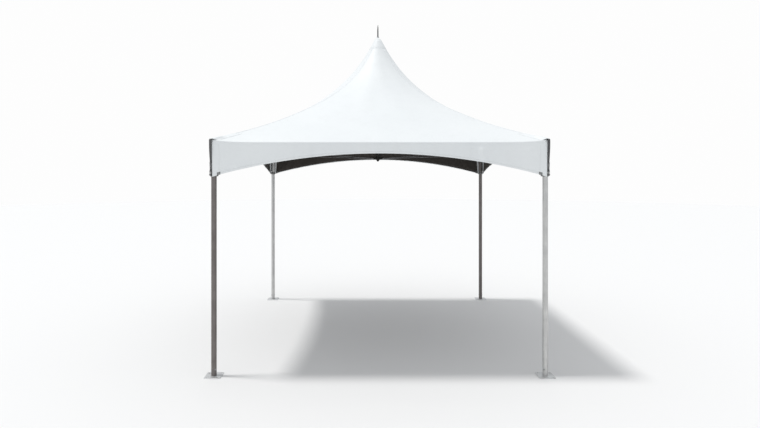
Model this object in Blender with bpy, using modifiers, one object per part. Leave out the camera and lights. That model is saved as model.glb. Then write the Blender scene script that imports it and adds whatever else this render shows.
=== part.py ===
"""High-peak frame tent, 3 m square: four tube legs, a square of eave tubes, a centre mast
carried on crossed cables, and a white top of four roof panels with arched valances.

Metres, +Z up. The origin is on the ground under the mast, and the front looks towards -Y.
Run with: blender --background --python part.py
"""

import math

import bmesh
import bpy
from mathutils import Matrix, Vector

# Frame
LEG_SPACING = 3.0
EAVE_AXIS_Z = 2.097
TUBE_RADIUS = 0.024
TUBE_WALL = 0.003
MAST_RADIUS = 0.021
MAST_BOTTOM_Z = 2.005
MAST_TOP_Z = 3.320
GAP = 0.0003

# Corner fittings
SLEEVE_RADIUS = 0.027
SLEEVE_LENGTH = 0.12
CORE_LENGTH = 0.028
BALL_RADIUS = 0.0266
EYE_REACH = 0.070
EYE_DROP = 0.020
EYE_THICKNESS = 0.008
EYE_HOLE_RADIUS = 0.006
EYE_RIM_RADIUS = 0.0149
EYE_WEB_HEIGHT = 0.030

# Feet
PLATE_SIDE = 0.150
PLATE_THICKNESS = 0.006
STAKE_HOLE_RADIUS = 0.009
STAKE_HOLE_OFFSET = 0.055
SPIGOT_HEIGHT = 0.10

# Mast fittings and crossed cables
HUB_RADIUS = 0.030
HUB_TOP_Z = 2.065
HUB_FLOOR_Z = 1.985
STUD_RADIUS = 0.013
STUD_BOTTOM_Z = 1.965
BOSS_RADIUS = 0.012
BOSS_REACH = 0.075
BOSS_Z = 2.0
SOCKET_DEPTH = 0.025
FERRULE_RADIUS = 0.0062
FERRULE_LENGTH = 0.055
CABLE_RADIUS = 0.004
BARREL_START = 0.055
BARREL_LENGTH = 0.150
BARREL_RADIUS = 0.010
SCREW_RADIUS = 0.005
FORK_EAR = 0.0035
FORK_WIDTH = 0.018
FORK_LENGTH = 0.038
FORK_BACK = 0.030
SPIRE_RADIUS = 0.007
SPIRE_TIP_Z = 3.572
SPIRE_SOCKET_DEPTH = 0.035

# Fabric top. The cloth is 4 mm thick here, so that it has a body; real coated cloth is 0.6 mm.
CLOTH = 0.004
ROOF_RISE = 1.2754
PEAK_HALF_WIDTH = 0.036
EAVE_SHARE = 0.71
PEAK_POWER = 5.4
CORNER_LIFT = 0.025
LIFT_POWER = 12
LIFT_OUTWARD_POWER = 1.5
LIFT_START = 1.15
ROUNDING_POWER = 1.42
CORNER_CUT = 0.0365
CREASE_RADIUS = 0.005
VALANCE_MIDDLE_Z = 2.013
VALANCE_CORNER_Z = 1.807
STRAP_THICKNESS = 0.003
STRAP_WIDTH = 0.045
STRAP_FOOT_WIDTH = 0.028
STRAP_TAIL = 0.045
ANCHOR_TOP_Z = 1.835
ANCHOR_HEIGHT = 0.030
LUG_HEIGHT = 0.018
LUG_REACH = 0.046

HALF = LEG_SPACING / 2
WRAP_RADIUS = SLEEVE_RADIUS + GAP + CLOTH
ROOF_END_Z = EAVE_AXIS_Z - 0.004
ROOF_STEPS = 12
SIDES = 20
CORNERS = {"front_left": 0, "front_right": 90, "back_right": 180, "back_left": 270}
FACES = {"front": 0, "right": 90, "back": 180, "left": 270}


def material(name, colour, roughness, metallic):
    made = bpy.data.materials.new(name)
    made.use_nodes = True
    shader = made.node_tree.nodes["Principled BSDF"]
    shader.inputs["Base Color"].default_value = (*colour, 1)
    shader.inputs["Roughness"].default_value = roughness
    shader.inputs["Metallic"].default_value = metallic
    return made


def mesh_object(name, shape, collection):
    data = bpy.data.meshes.new(name)
    shape.to_mesh(data)
    shape.free()
    obj = bpy.data.objects.new(name, data)
    collection.objects.link(obj)
    return obj


def along(axis):
    """Rotation that turns +Z to the given direction."""
    return Vector(axis).to_track_quat("Z", "Y").to_matrix().to_4x4()


def cylinder(radius, start, end, collection, name="cutter", sides=SIDES, turn=0.0):
    """Solid cylinder between two points."""
    start, end = Vector(start), Vector(end)
    shape = bmesh.new()
    place = Matrix.Translation((start + end) / 2) @ along(end - start) @ Matrix.Rotation(turn, 4, "Z")
    bmesh.ops.create_cone(shape, cap_ends=True, segments=sides, radius1=radius, radius2=radius,
                          depth=(end - start).length, matrix=place)
    return mesh_object(name, shape, collection)


def box(size, centre, collection, name="cutter", turn=None):
    shape = bmesh.new()
    place = Matrix.Translation(centre) @ (turn or Matrix.Identity(4)) @ Matrix.Diagonal((*size, 1))
    bmesh.ops.create_cube(shape, size=1, matrix=place)
    return mesh_object(name, shape, collection)


def hide(cutter):
    cutter.hide_render = True
    cutter.display_type = "WIRE"
    return cutter


def boolean(obj, operation, *others):
    for other in others:
        step = obj.modifiers.new(operation.lower(), "BOOLEAN")
        step.operation = operation
        step.object = hide(other)
    return obj


def baked(obj):
    """The object's evaluated mesh in place of its modifiers, so that copies can share it."""
    graph = bpy.context.evaluated_depsgraph_get()
    data = bpy.data.meshes.new_from_object(obj.evaluated_get(graph))
    obj.modifiers.clear()
    obj.data = data
    return obj


def smooth(obj, degrees=35):
    obj.data.shade_smooth()
    obj.data.set_sharp_from_angle(angle=math.radians(degrees))
    return obj


def tube(name, radius, wall, length, collection):
    """Open round tube along +Z from the origin, made solid inwards by its wall."""
    shape = bmesh.new()
    bmesh.ops.create_cone(shape, cap_ends=False, segments=SIDES, radius1=radius, radius2=radius,
                          depth=length, matrix=Matrix.Translation((0, 0, length / 2)))
    obj = mesh_object(name, shape, collection)
    shell = obj.modifiers.new("wall", "SOLIDIFY")
    shell.thickness = wall
    shell.offset = -1
    shell.use_even_offset = True
    return smooth(baked(obj))


def turned(name, profile, collection, sides=SIDES):
    """Solid of revolution about Z. The profile is (radius, z), down the outer side."""
    shape = bmesh.new()
    points = [shape.verts.new((radius, 0, z)) for radius, z in profile]
    for first, second in zip(points, points[1:]):
        shape.edges.new((first, second))
    obj = mesh_object(name, shape, collection)
    screw = obj.modifiers.new("turn", "SCREW")
    screw.steps = screw.render_steps = sides
    screw.use_merge_vertices = True
    screw.merge_threshold = 0.00001
    return obj


def copies(source, places, paint, collection):
    """One object for each (name, matrix), all sharing the source's mesh; the source is removed."""
    data = source.data
    data.materials.clear()
    data.materials.append(paint)
    bpy.data.objects.remove(source)
    for name, place in places:
        obj = bpy.data.objects.new(name, data)
        obj.matrix_world = place
        collection.objects.link(obj)


def finished(obj, name, paint):
    obj.name = name
    obj.data.materials.clear()
    obj.data.materials.append(paint)
    return obj


def at_corners(prefix, z=0.0):
    """(name, matrix) for the four corners: local +X and +Y run inwards along the eaves."""
    for corner, degrees in CORNERS.items():
        turn = Matrix.Rotation(math.radians(degrees), 4, "Z")
        yield f"{prefix}_{corner}", turn @ Matrix.Translation((-HALF, -HALF, z))


def at_faces(prefix, place=None):
    """(name, matrix) for the four sides, from a place on the front side."""
    for face, degrees in FACES.items():
        turn = Matrix.Rotation(math.radians(degrees), 4, "Z")
        yield f"{prefix}_{face}", turn @ (place or Matrix.Identity(4))


def eave_slope():
    return ROOF_RISE * EAVE_SHARE / (HALF - PEAK_HALF_WIDTH)


def roof_line(s):
    """Half-width and height of the cloth's outer side, with s from 0 at the eave to 1 at the peak."""
    lean = math.atan(eave_slope())
    eave_width = HALF + WRAP_RADIUS * math.sin(lean)
    eave_z = EAVE_AXIS_Z + WRAP_RADIUS * math.cos(lean)
    climb = EAVE_SHARE * s + (1 - EAVE_SHARE) * s ** PEAK_POWER
    return eave_width - (eave_width - PEAK_HALF_WIDTH) * s, eave_z + ROOF_RISE * climb


def roof_rows():
    """(half-width, height, squareness) of the roof's level lines, peak to valance, outer side.

    A level line is a circle at the peak and a square at the eave. Past the eave tube the cloth
    runs on to a crease and then hangs straight down."""
    rows = []
    for step in range(ROOF_STEPS + 1):
        s = 1 - (step / ROOF_STEPS) ** 1.5
        rows.append((*roof_line(s), (1 - s) ** ROUNDING_POWER))
    eave_width, eave_z = roof_line(0)
    outer = HALF + WRAP_RADIUS
    crease_z = eave_z - (outer - eave_width) * eave_slope()
    lean = math.atan(eave_slope())
    rows.append((outer - CREASE_RADIUS * math.cos(lean), crease_z + CREASE_RADIUS * math.sin(lean), 1))
    rows.append((outer, crease_z - CREASE_RADIUS, 1))
    rows.append((outer, ROOF_END_Z, 1))
    return rows


def hip_rows():
    """The last two rows on the slope and the one just above the crease."""
    return roof_rows()[ROOF_STEPS - 1:ROOF_STEPS + 2]


def lift(half_width, across):
    """How far the cloth stands up near a corner, where the leg's dome carries it."""
    outward = min(1, max(0, (half_width - LIFT_START) / (HALF - LIFT_START)))
    return CORNER_LIFT * outward ** LIFT_OUTWARD_POWER * min(1, abs(across)) ** LIFT_POWER


def roof_point(row, across):
    """Point of the front roof panel; across is 0 at its middle and -1 or 1 at its hips."""
    half_width, z, square = row
    reach = half_width * (1 + across ** 2) ** ((square - 1) / 2)
    return Vector((reach * across, -reach, z + lift(half_width, across)))


def columns(past_hip=0.0, half_count=7):
    steps = range(-half_count, half_count + 1)
    inner = [math.sin(math.pi / 2 * step / half_count) for step in steps]
    return [-1 - past_hip] * (past_hip > 0) + inner + [1 + past_hip] * (past_hip > 0)


def make_legs(paint, parts):
    bottom = PLATE_THICKNESS + GAP
    top = EAVE_AXIS_Z - CORE_LENGTH - GAP
    leg = tube("leg", TUBE_RADIUS, TUBE_WALL, top - bottom, parts)
    copies(leg, at_corners("leg", bottom), paint, parts)


def make_base_plates(paint, parts, cutters):
    plate = box((PLATE_SIDE, PLATE_SIDE, PLATE_THICKNESS), (0, 0, PLATE_THICKNESS / 2), parts, "plate")
    edge = plate.modifiers.new("corners", "BEVEL")
    edge.width = 0.0015
    edge.segments = 1
    spigot_radius = TUBE_RADIUS - TUBE_WALL - GAP
    spigot = turned("spigot", [(0, SPIGOT_HEIGHT), (spigot_radius - 0.003, SPIGOT_HEIGHT),
                               (spigot_radius, SPIGOT_HEIGHT - 0.006), (spigot_radius, PLATE_THICKNESS / 2),
                               (0, PLATE_THICKNESS / 2)], cutters)
    boolean(plate, "UNION", spigot)
    for x in (-STAKE_HOLE_OFFSET, STAKE_HOLE_OFFSET):
        for y in (-STAKE_HOLE_OFFSET, STAKE_HOLE_OFFSET):
            hole = cylinder(STAKE_HOLE_RADIUS, (x, y, -0.01), (x, y, 0.02), cutters, sides=10)
            boolean(plate, "DIFFERENCE", hole)
    copies(smooth(baked(plate)), at_corners("base_plate"), paint, parts)


def make_eave_tubes(paint, parts):
    length = LEG_SPACING - 2 * (CORE_LENGTH + GAP)
    rail = tube("eave_tube", TUBE_RADIUS, TUBE_WALL, length, parts)
    place = Matrix.Translation((-length / 2, -HALF, EAVE_AXIS_Z)) @ along((1, 0, 0))
    copies(rail, at_faces("eave_tube", place), paint, parts)


def dome_centre_height():
    """Height of the dome's centre over the eave axis, so that it just carries the cloth."""
    upper, lower = [roof_point(row, -1) for row in hip_rows()[:2]]
    hip_fall = (upper.z - lower.z) / (upper.x - lower.x)
    over_leg = lower.z - hip_fall * (HALF + lower.x)
    sideways = CORNER_LIFT * LIFT_POWER / HALF
    steepness = math.sqrt(1 + sideways ** 2 + (hip_fall + sideways) ** 2)
    return over_leg - EAVE_AXIS_Z - (BALL_RADIUS + CLOTH + 4 * GAP) * steepness


def make_corner_fittings(paint, parts, cutters):
    """Cast three-way corner: sleeves over the leg and two eave tubes, a dome and a cable eye."""
    dome_z = dome_centre_height()
    steps = 4
    angles = [math.pi / 2 * step / steps for step in range(steps + 1)]
    dome = [(BALL_RADIUS * math.sin(angle), dome_z + BALL_RADIUS * math.cos(angle)) for angle in angles]
    body = turned("fitting", [*dome, (BALL_RADIUS, 0.004), (SLEEVE_RADIUS, 0),
                              (SLEEVE_RADIUS, -SLEEVE_LENGTH), (0, -SLEEVE_LENGTH)], parts)
    half_turn = math.pi / SIDES
    for axis in (Vector((1, 0, 0)), Vector((0, 1, 0))):
        arm = cylinder(SLEEVE_RADIUS - 0.0002, (0, 0, 0), axis * SLEEVE_LENGTH, cutters, turn=half_turn)
        boolean(body, "UNION", arm)
    inward = Vector((1, 1, 0)).normalized()
    eye_turn = Matrix.Rotation(math.pi / 4, 4, "Z")
    eye = inward * EYE_REACH - Vector((0, 0, EYE_DROP))
    web_size = (EYE_REACH, EYE_THICKNESS, EYE_WEB_HEIGHT)
    web = box(web_size, eye - inward * EYE_REACH / 2, cutters, turn=eye_turn)
    side = Vector((-1, 1, 0)).normalized()
    half_rim = side * EYE_THICKNESS * 0.499
    rim = cylinder(EYE_RIM_RADIUS, eye - half_rim, eye + half_rim, cutters, sides=12)
    boolean(body, "UNION", web, rim)
    bore = TUBE_RADIUS + GAP
    for axis in (Vector((0, 0, -1)), Vector((1, 0, 0)), Vector((0, 1, 0))):
        past_mouth = axis * (SLEEVE_LENGTH + 0.05)
        boolean(body, "DIFFERENCE", cylinder(bore, axis * CORE_LENGTH, past_mouth, cutters))
    through = side * EYE_THICKNESS * 2
    pin_hole = cylinder(EYE_HOLE_RADIUS, eye - through, eye + through, cutters, sides=12)
    boolean(body, "DIFFERENCE", pin_hole)
    copies(smooth(baked(body)), at_corners("corner_fitting", EAVE_AXIS_Z), paint, parts)


def cable_ends():
    """Where a cable leaves the corner's eye and the mast's hub, for the front left corner."""
    inward = Vector((1, 1, 0)).normalized()
    eye = Vector((-HALF, -HALF, EAVE_AXIS_Z - EYE_DROP)) + inward * EYE_REACH
    boss = Vector((0, 0, BOSS_Z)) - inward * BOSS_REACH
    return eye, boss


def cable_frame():
    """Matrix with its origin at the corner's eye, +Z along the cable and +X level across it."""
    eye, boss = cable_ends()
    run = (boss - eye).normalized()
    level = Vector((-1, 1, 0)).normalized()
    third = run.cross(level)
    turn = Matrix((level, third, run)).transposed().to_4x4()
    return Matrix.Translation(eye) @ turn


def four_turns(prefix, place):
    for corner, degrees in CORNERS.items():
        yield f"{prefix}_{corner}", Matrix.Rotation(math.radians(degrees), 4, "Z") @ place


def make_turnbuckles(paint, parts, cutters):
    """A fork on the corner's eye, a screw and a barrel that takes the cable's ferrule."""
    slot_width = EYE_THICKNESS + 2 * GAP
    slot_end = EYE_RIM_RADIUS + 2 * GAP
    fork_thickness = slot_width + 2 * FORK_EAR
    barrel_end = BARREL_START + BARREL_LENGTH
    shoulder = 0.002
    taper = 0.008
    barrel = turned("barrel", [(0, barrel_end), (BARREL_RADIUS - shoulder, barrel_end),
                               (BARREL_RADIUS, barrel_end - taper), (BARREL_RADIUS, BARREL_START + taper),
                               (BARREL_RADIUS - shoulder, BARREL_START), (SCREW_RADIUS, BARREL_START),
                               (SCREW_RADIUS, slot_end + 0.002), (0, slot_end + 0.002)], parts, sides=12)
    fork_middle = (0, 0, FORK_BACK - FORK_LENGTH / 2)
    boolean(barrel, "UNION", box((fork_thickness, FORK_WIDTH, FORK_LENGTH), fork_middle, cutters))
    slot_length = 0.05
    slot = box((slot_width, 2 * FORK_WIDTH, slot_length), (0, 0, slot_end - slot_length / 2), cutters)
    boolean(barrel, "DIFFERENCE", slot)
    pin_reach = fork_thickness / 2 + 0.003
    pin_radius = EYE_HOLE_RADIUS - 0.0005
    pin = cylinder(pin_radius, (-pin_reach, 0, 0), (pin_reach, 0, 0), cutters, sides=10)
    boolean(barrel, "UNION", pin)
    socket = cylinder(FERRULE_RADIUS + GAP, (0, 0, barrel_end - SOCKET_DEPTH), (0, 0, barrel_end + 0.01),
                      cutters, sides=12)
    boolean(barrel, "DIFFERENCE", socket)
    copies(smooth(baked(barrel)), four_turns("turnbuckle", cable_frame()), paint, parts)


def make_cables(paint, parts):
    """Wire ropes with a ferrule at each end, pushed into the turnbuckle and the hub."""
    eye, boss = cable_ends()
    start = BARREL_START + BARREL_LENGTH - SOCKET_DEPTH + GAP
    end = (boss - eye).length + SOCKET_DEPTH - GAP
    taper = 0.006
    rope = turned("rope", [(0, end), (FERRULE_RADIUS, end), (FERRULE_RADIUS, end - FERRULE_LENGTH),
                           (CABLE_RADIUS, end - FERRULE_LENGTH - taper),
                           (CABLE_RADIUS, start + FERRULE_LENGTH + taper),
                           (FERRULE_RADIUS, start + FERRULE_LENGTH), (FERRULE_RADIUS, start), (0, start)],
                  parts, sides=10)
    copies(smooth(baked(rope)), four_turns("cross_cable", cable_frame()), paint, parts)


def make_mast(paint, steel, parts, cutters):
    pole = tube("mast_tube", MAST_RADIUS, TUBE_WALL, MAST_TOP_Z - MAST_BOTTOM_Z, parts)
    pole.location.z = MAST_BOTTOM_Z
    finished(pole, "mast_tube", paint)

    hub = turned("mast_hub", [(0, HUB_TOP_Z), (HUB_RADIUS - 0.002, HUB_TOP_Z),
                              (HUB_RADIUS, HUB_TOP_Z - 0.004), (HUB_RADIUS, HUB_FLOOR_Z + 0.004),
                              (HUB_RADIUS - 0.006, HUB_FLOOR_Z - 0.002), (STUD_RADIUS, HUB_FLOOR_Z - 0.004),
                              (STUD_RADIUS, STUD_BOTTOM_Z + 0.004), (STUD_RADIUS - 0.004, STUD_BOTTOM_Z),
                              (0, STUD_BOTTOM_Z)], parts)
    frame = cable_frame()
    reach = (cable_ends()[1] - cable_ends()[0]).length
    for degrees in CORNERS.values():
        place = Matrix.Rotation(math.radians(degrees), 4, "Z") @ frame
        boss = cylinder(BOSS_RADIUS, place @ Vector((0, 0, reach)), place @ Vector((0, 0, reach + 0.055)),
                        cutters, sides=12)
        boolean(hub, "UNION", boss)
    for degrees in CORNERS.values():
        place = Matrix.Rotation(math.radians(degrees), 4, "Z") @ frame
        socket = cylinder(FERRULE_RADIUS + GAP, place @ Vector((0, 0, reach - 0.02)),
                          place @ Vector((0, 0, reach + SOCKET_DEPTH)), cutters, sides=12)
        boolean(hub, "DIFFERENCE", socket)
    seat = cylinder(MAST_RADIUS + GAP, (0, 0, MAST_BOTTOM_Z - GAP), (0, 0, HUB_TOP_Z + 0.05), cutters)
    boolean(hub, "DIFFERENCE", seat)
    finished(smooth(baked(hub)), "mast_hub", steel)


def cap_profile():
    """Outer side of the mast's cap, top to bottom: it lies just inside the cloth."""
    inset = CLOTH + 2.5 * GAP
    profile = []
    for s in (0.998, 0.990, 0.982, 0.974):
        half_width, z = roof_line(s)
        above = roof_line(s + 0.001)
        steep = math.atan2(above[1] - z, half_width - above[0])
        profile.append((half_width - inset * math.sin(steep), z - inset * math.cos(steep)))
    return profile


def make_peak(paint, steel, cloth, parts, cutters):
    side = cap_profile()
    shoulder = MAST_TOP_Z + GAP
    plug_radius = MAST_RADIUS - TUBE_WALL - GAP
    top_z = side[0][1]
    skirt = side[-1][0]
    cap = turned("mast_cap", [(0, top_z), *side, (skirt, shoulder), (plug_radius, shoulder),
                              (plug_radius, MAST_TOP_Z - 0.06), (0, MAST_TOP_Z - 0.06)], parts)
    bore = cylinder(SPIRE_RADIUS + GAP, (0, 0, top_z - SPIRE_SOCKET_DEPTH), (0, 0, top_z + 0.02), cutters)
    boolean(cap, "DIFFERENCE", bore)
    finished(smooth(baked(cap)), "mast_cap", steel)

    base = top_z - SPIRE_SOCKET_DEPTH + GAP
    spire = turned("spire", [(0, SPIRE_TIP_Z), (0.002, SPIRE_TIP_Z - 0.002),
                             (SPIRE_RADIUS * 0.75, SPIRE_TIP_Z - 0.035), (SPIRE_RADIUS, SPIRE_TIP_Z - 0.06),
                             (SPIRE_RADIUS, base), (0, base)], parts)
    finished(smooth(baked(spire)), "spire", paint)

    peak_z = roof_rows()[0][1]
    seat = peak_z + GAP
    boot = turned("peak_boot", [(0, seat + 0.034), (SPIRE_RADIUS + 0.0035, seat + 0.034),
                                (SPIRE_RADIUS + 0.007, seat + 0.018), (PEAK_HALF_WIDTH - 0.008, seat + 0.006),
                                (PEAK_HALF_WIDTH, seat), (0, seat)], parts)
    sleeve = cylinder(SPIRE_RADIUS + GAP, (0, 0, seat - 0.02), (0, 0, seat + 0.06), cutters)
    boolean(boot, "DIFFERENCE", sleeve)
    finished(smooth(baked(boot)), "peak_boot", cloth)


def grid_surface(name, rows, collection):
    """Open surface through rows of points, with its faces looking out of the tent."""
    shape = bmesh.new()
    lines = [[shape.verts.new(point) for point in row] for row in rows]
    for upper, lower in zip(lines, lines[1:]):
        for left in range(len(upper) - 1):
            shape.faces.new((upper[left], lower[left], lower[left + 1], upper[left + 1]))
    return mesh_object(name, shape, collection)


def make_roof_panels(paint, parts, cutters):
    """Front panel, run past its hips, thickened, cut to the hip planes and clipped at its corners."""
    rows = [[roof_point(row, across) for across in columns(past_hip=0.03)] for row in roof_rows()]
    panel = grid_surface("panel", rows, parts)
    shell = panel.modifiers.new("cloth", "SOLIDIFY")
    shell.thickness = CLOTH
    shell.offset = -1
    eighth_turn = Matrix.Rotation(math.pi / 4, 4, "Z")
    wedge_side = 3.4
    wedge_middle = (0, -wedge_side / math.sqrt(2) - GAP, EAVE_AXIS_Z + 1)
    boolean(panel, "INTERSECT", box((wedge_side, wedge_side, 3), wedge_middle, cutters, turn=eighth_turn))
    clip_side = 0.1
    for side in (-1, 1):
        outward = Vector((side, -1, 0)).normalized()
        clip_middle = Vector((side * HALF, -HALF, EAVE_AXIS_Z)) + outward * (CORNER_CUT + clip_side / 2)
        clip = box((clip_side, clip_side, 3 * clip_side), clip_middle, cutters, turn=eighth_turn)
        boolean(panel, "DIFFERENCE", clip)
    copies(smooth(baked(panel), 60), at_faces("roof_panel"), paint, parts)


def make_valances(paint, parts, cutters):
    """Flat strip below each eave: its top follows the roll's edge, its bottom is an arch."""
    outer = HALF + WRAP_RADIUS
    rows = []
    for share in (0, 0.33, 0.67, 1):
        row = []
        for across in columns():
            top = ROOF_END_Z + lift(outer, across) - GAP
            bottom = VALANCE_MIDDLE_Z - (VALANCE_MIDDLE_Z - VALANCE_CORNER_Z) * (across * outer / HALF) ** 2
            row.append(Vector((across * outer, -outer, top + (bottom - top) * share)))
        rows.append(row)
    strip = grid_surface("valance", rows, parts)
    shell = strip.modifiers.new("cloth", "SOLIDIFY")
    shell.thickness = CLOTH
    shell.offset = -1
    between_legs = box((2 * (HALF - GAP), 1, 1), (0, -outer, EAVE_AXIS_Z), cutters)
    boolean(strip, "INTERSECT", between_legs)
    copies(smooth(baked(strip)), at_faces("valance"), paint, parts)


def strap_path():
    """Distance out from the leg's axis and height of the strap's inner side, from the hip down."""
    hip = [roof_point(row, -1) for row in hip_rows()]
    ridge = [(-(point.x + HALF) * math.sqrt(2), point.z + 3 * GAP) for point in hip]
    (far, high), (near, middle), (crease, low) = ridge
    start = (-STRAP_TAIL, middle + (high - middle) * (near + STRAP_TAIL) / (near - far))
    bend = CORNER_CUT + GAP
    over_corner = (bend, middle + (low - middle) * (bend - near) / (crease - near))
    lug_top = ANCHOR_TOP_Z - (ANCHOR_HEIGHT - LUG_HEIGHT) / 2
    foot = (SLEEVE_RADIUS + 2 * GAP, lug_top + GAP)
    return [start, ridge[1], over_corner, (bend, ROOF_END_Z), foot]


def make_corner_straps(paint, parts):
    """Webbing laid over the end of each hip and bent down outside the corner, where it narrows
    towards the anchor's lug."""
    outward = Vector((-1, -1, 0)).normalized()
    across = Vector((1, -1, 0)).normalized()
    path = strap_path()
    rows = []
    for distance, z in path:
        middle = outward * distance + Vector((0, 0, z))
        width = STRAP_FOOT_WIDTH if (distance, z) == path[-1] else STRAP_WIDTH
        rows.append([middle - across * width / 2, middle, middle + across * width / 2])
    strap = grid_surface("strap", rows, parts)
    shell = strap.modifiers.new("webbing", "SOLIDIFY")
    shell.thickness = STRAP_THICKNESS
    shell.offset = 1
    copies(smooth(baked(strap)), at_corners("corner_strap"), paint, parts)


def make_strap_anchors(paint, parts, cutters):
    """Band clamped round the leg below each strap, with a lug on the outer side."""
    inner = TUBE_RADIUS + GAP
    outer = SLEEVE_RADIUS
    top = ANCHOR_TOP_Z
    bottom = top - ANCHOR_HEIGHT
    band = turned("anchor", [(0, top), (outer, top), (outer, bottom), (0, bottom)], parts,
                  sides=24)
    outward = Vector((-1, -1, 0)).normalized()
    root = 0.8 * TUBE_RADIUS
    middle = outward * (LUG_REACH + root) / 2 + Vector((0, 0, (top + bottom) / 2))
    lug = box((LUG_REACH - root, 0.006, LUG_HEIGHT), middle, cutters,
              turn=Matrix.Rotation(math.pi / 4, 4, "Z"))
    boolean(band, "UNION", lug)
    bore = cylinder(inner, (0, 0, bottom - 0.02), (0, 0, top + 0.02), cutters, sides=24)
    boolean(band, "DIFFERENCE", bore)
    side = Vector((1, -1, 0)).normalized() * 0.02
    hole = outward * (LUG_REACH - 0.007) + Vector((0, 0, (top + bottom) / 2))
    boolean(band, "DIFFERENCE", cylinder(0.0035, hole - side, hole + side, cutters, sides=12))
    copies(smooth(baked(band)), at_corners("strap_anchor"), paint, parts)


def main():
    for obj in list(bpy.data.objects):
        bpy.data.objects.remove(obj)
    parts = bpy.data.collections.new("marquee_tent")
    cutters = bpy.data.collections.new("cutters")
    for collection in (parts, cutters):
        bpy.context.scene.collection.children.link(collection)

    aluminium = material("aluminium", (0.60, 0.60, 0.60), 0.35, 1.0)
    casting = material("casting", (0.45, 0.46, 0.47), 0.5, 1.0)
    steel = material("galvanised_steel", (0.42, 0.43, 0.44), 0.45, 1.0)
    cloth = material("white_cloth", (0.90, 0.92, 0.93), 0.45, 0.0)
    webbing = material("black_webbing", (0.03, 0.03, 0.035), 0.8, 0.0)

    make_legs(aluminium, parts)
    make_base_plates(steel, parts, cutters)
    make_eave_tubes(aluminium, parts)
    make_corner_fittings(casting, parts, cutters)
    make_turnbuckles(steel, parts, cutters)
    make_cables(steel, parts)
    make_mast(aluminium, steel, parts, cutters)
    make_peak(aluminium, casting, cloth, parts, cutters)
    make_roof_panels(cloth, parts, cutters)
    make_valances(cloth, parts, cutters)
    make_corner_straps(webbing, parts)
    make_strap_anchors(steel, parts, cutters)
    for cutter in cutters.objects:
        hide(cutter)


main()
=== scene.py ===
"""Looks of the marquee tent: its cloth, webbing, metal and small fastenings, in metres, +Z up."""

from math import atan, atan2, cos, exp, pi, radians, sin, sqrt, tan

import bmesh
import bpy
from mathutils import Matrix, Vector


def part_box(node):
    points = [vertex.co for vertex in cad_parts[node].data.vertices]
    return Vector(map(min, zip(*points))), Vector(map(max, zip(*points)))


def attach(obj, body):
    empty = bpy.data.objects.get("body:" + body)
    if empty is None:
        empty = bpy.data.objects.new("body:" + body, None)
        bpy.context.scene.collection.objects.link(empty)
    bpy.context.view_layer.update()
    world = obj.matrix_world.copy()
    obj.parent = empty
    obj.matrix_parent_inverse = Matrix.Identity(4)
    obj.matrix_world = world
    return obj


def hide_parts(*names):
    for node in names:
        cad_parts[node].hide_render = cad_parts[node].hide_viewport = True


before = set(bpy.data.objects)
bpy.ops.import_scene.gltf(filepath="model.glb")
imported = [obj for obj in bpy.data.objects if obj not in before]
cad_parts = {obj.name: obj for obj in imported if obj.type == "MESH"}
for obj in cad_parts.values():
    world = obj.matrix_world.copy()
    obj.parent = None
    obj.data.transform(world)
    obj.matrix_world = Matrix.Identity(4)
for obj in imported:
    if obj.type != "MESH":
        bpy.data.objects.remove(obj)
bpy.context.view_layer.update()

# The photograph's camera, level and looking along +Y, in a frame 760 wide and 428 high
CAMERA_PLACE = (-0.068, -6.515, 1.859)
LENS_MM = 26.23
SENSOR_MM = 36
SHIFT = (0.0104, -0.0572)

# The frame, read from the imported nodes
LEG_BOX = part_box("leg_front_right")
PLATE_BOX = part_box("base_plate_front_left")
CASTING_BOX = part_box("corner_fitting_front_left")
HUB_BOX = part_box("mast_hub")
MAST_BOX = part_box("mast_tube")
SPIRE_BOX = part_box("spire")
HALF = (LEG_BOX[0].x + LEG_BOX[1].x) / 2
TUBE_RADIUS = (LEG_BOX[1].x - LEG_BOX[0].x) / 2
EAVE_Z = sum(corner.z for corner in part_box("eave_tube_front")) / 2
MAST_RADIUS = (MAST_BOX[1].x - MAST_BOX[0].x) / 2
CORNERS = {"front_left": 0, "front_right": 90, "back_right": 180, "back_left": 270}
SIDES = {"front": 0, "right": 90, "back": 180, "left": 270}
MIDDLE = {"": 0}

# Directions at the front left corner, and its leg's axis on the ground
OUT = Vector((-1, -1, 0)).normalized()
ACROSS = Vector((1, -1, 0)).normalized()
UP = Vector((0, 0, 1))
UPRIGHT = Matrix.Identity(4)
LEG_AXIS = Vector((-HALF, -HALF, 0))
HIP = -pi / 4

# The roof's shape
WRAP_RADIUS = -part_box("roof_panel_front")[0].y - HALF
OUTER = HALF + WRAP_RADIUS
PEAK_HALF_WIDTH = 0.036
ROOF_RISE = 1.2754
EAVE_SHARE = 0.71
PEAK_POWER = 5.4
ROUNDING_POWER = 1.42
CORNER_POWER = 160
CREASE_RADIUS = 0.005
CORNER_LIFT = 0.026
LIFT_POWER = 12
LIFT_OUTWARD_POWER = 1.5
LIFT_START = 1.15
SLACK = 0.0016
ROLL_END_Z = EAVE_Z - 0.004
EAVE_LEAN = atan(ROOF_RISE * EAVE_SHARE / (HALF - PEAK_HALF_WIDTH))

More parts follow.
